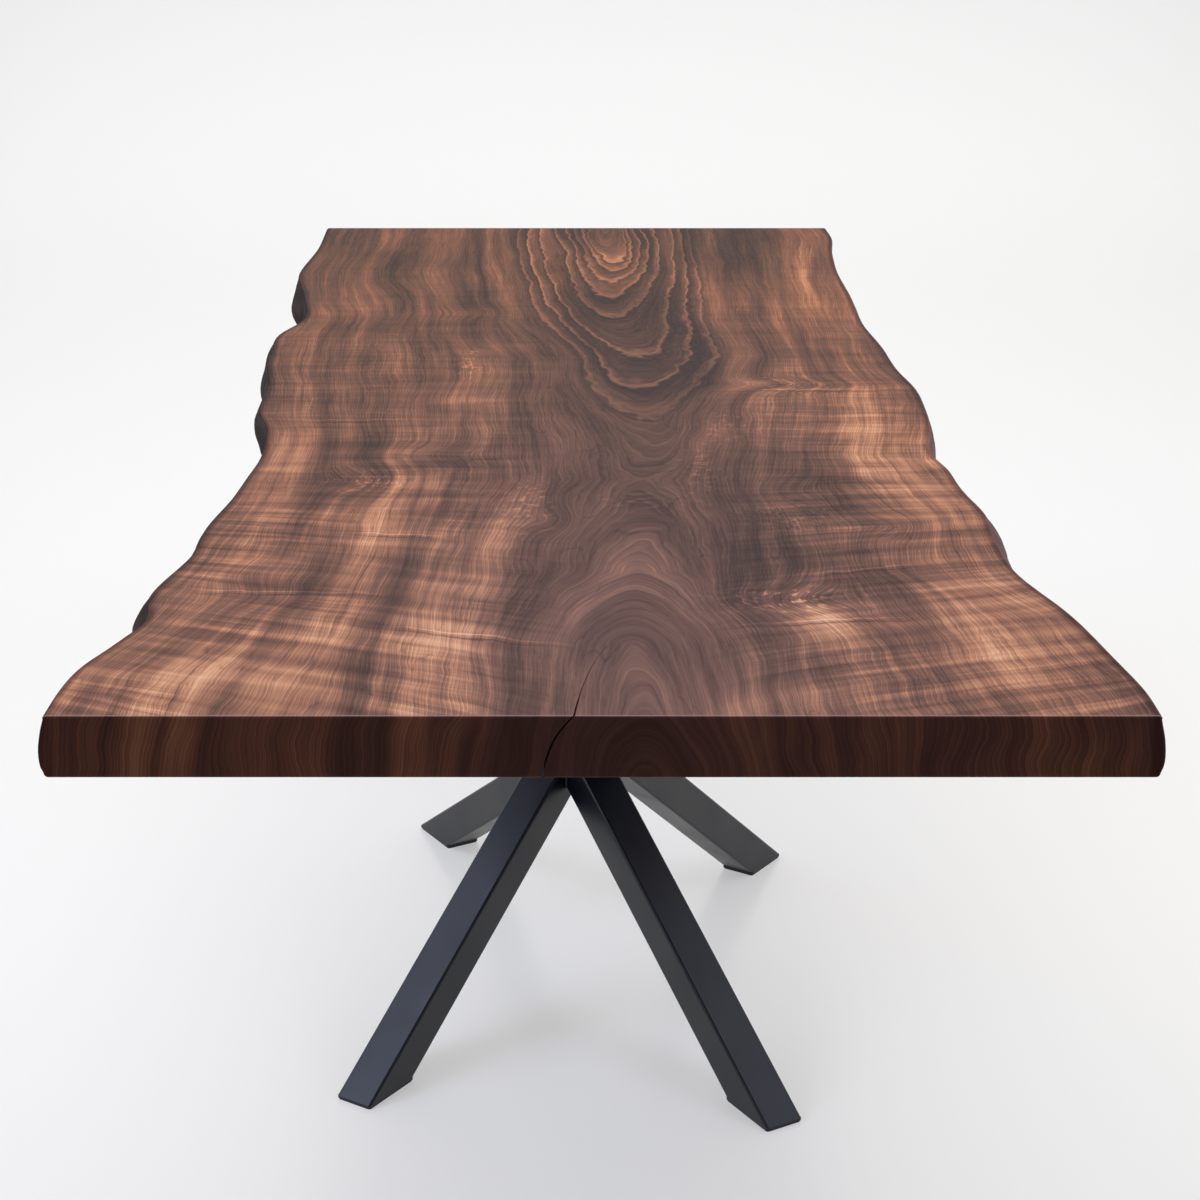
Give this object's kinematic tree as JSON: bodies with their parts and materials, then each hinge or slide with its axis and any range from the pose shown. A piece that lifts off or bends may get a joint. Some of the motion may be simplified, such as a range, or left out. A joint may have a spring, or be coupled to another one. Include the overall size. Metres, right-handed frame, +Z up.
{
  "type": "live-edge plank dining table",
  "caption": "Long dining table: a thick live-edge walnut slab on a base of crossed square steel tubes that lean out to four flat feet.",
  "frame": {"origin": "on the floor under the middle of the slab's outline", "axes": "+Z up, +Y along the slab from its wide near end to its narrow far end, +X across it to the right"},
  "size_m": [0.9279, 2.2, 0.779],
  "materials": {
    "walnut": "oiled black walnut, satin",
    "black_steel": "black powder coat, satin",
    "foot_pad": "matt black",
    "zinc_steel": "zinc plated"
  },
  "bodies": {
    "root": {"walnut_slab": "walnut", "tube_front_right": "black_steel", "tube_rear_left": "black_steel", "leg_front_left": "black_steel", "arm_rear_right": "black_steel", "leg_rear_right": "black_steel", "arm_front_left": "black_steel", "mounting_plate_front_left": "black_steel", "mounting_plate_front_right": "black_steel", "mounting_plate_rear_right": "black_steel", "mounting_plate_rear_left": "black_steel", "foot_cap_front_left": "black_steel", "foot_cap_front_right": "black_steel", "foot_cap_rear_right": "black_steel", "foot_cap_rear_left": "black_steel", "foot_pad_front_left": "foot_pad", "foot_pad_front_right": "foot_pad", "foot_pad_rear_right": "foot_pad", "foot_pad_rear_left": "foot_pad", "plate_bolts": "zinc_steel", "plate_washers": "zinc_steel", "threaded_inserts": "zinc_steel"}
  },
  "joints": []
}
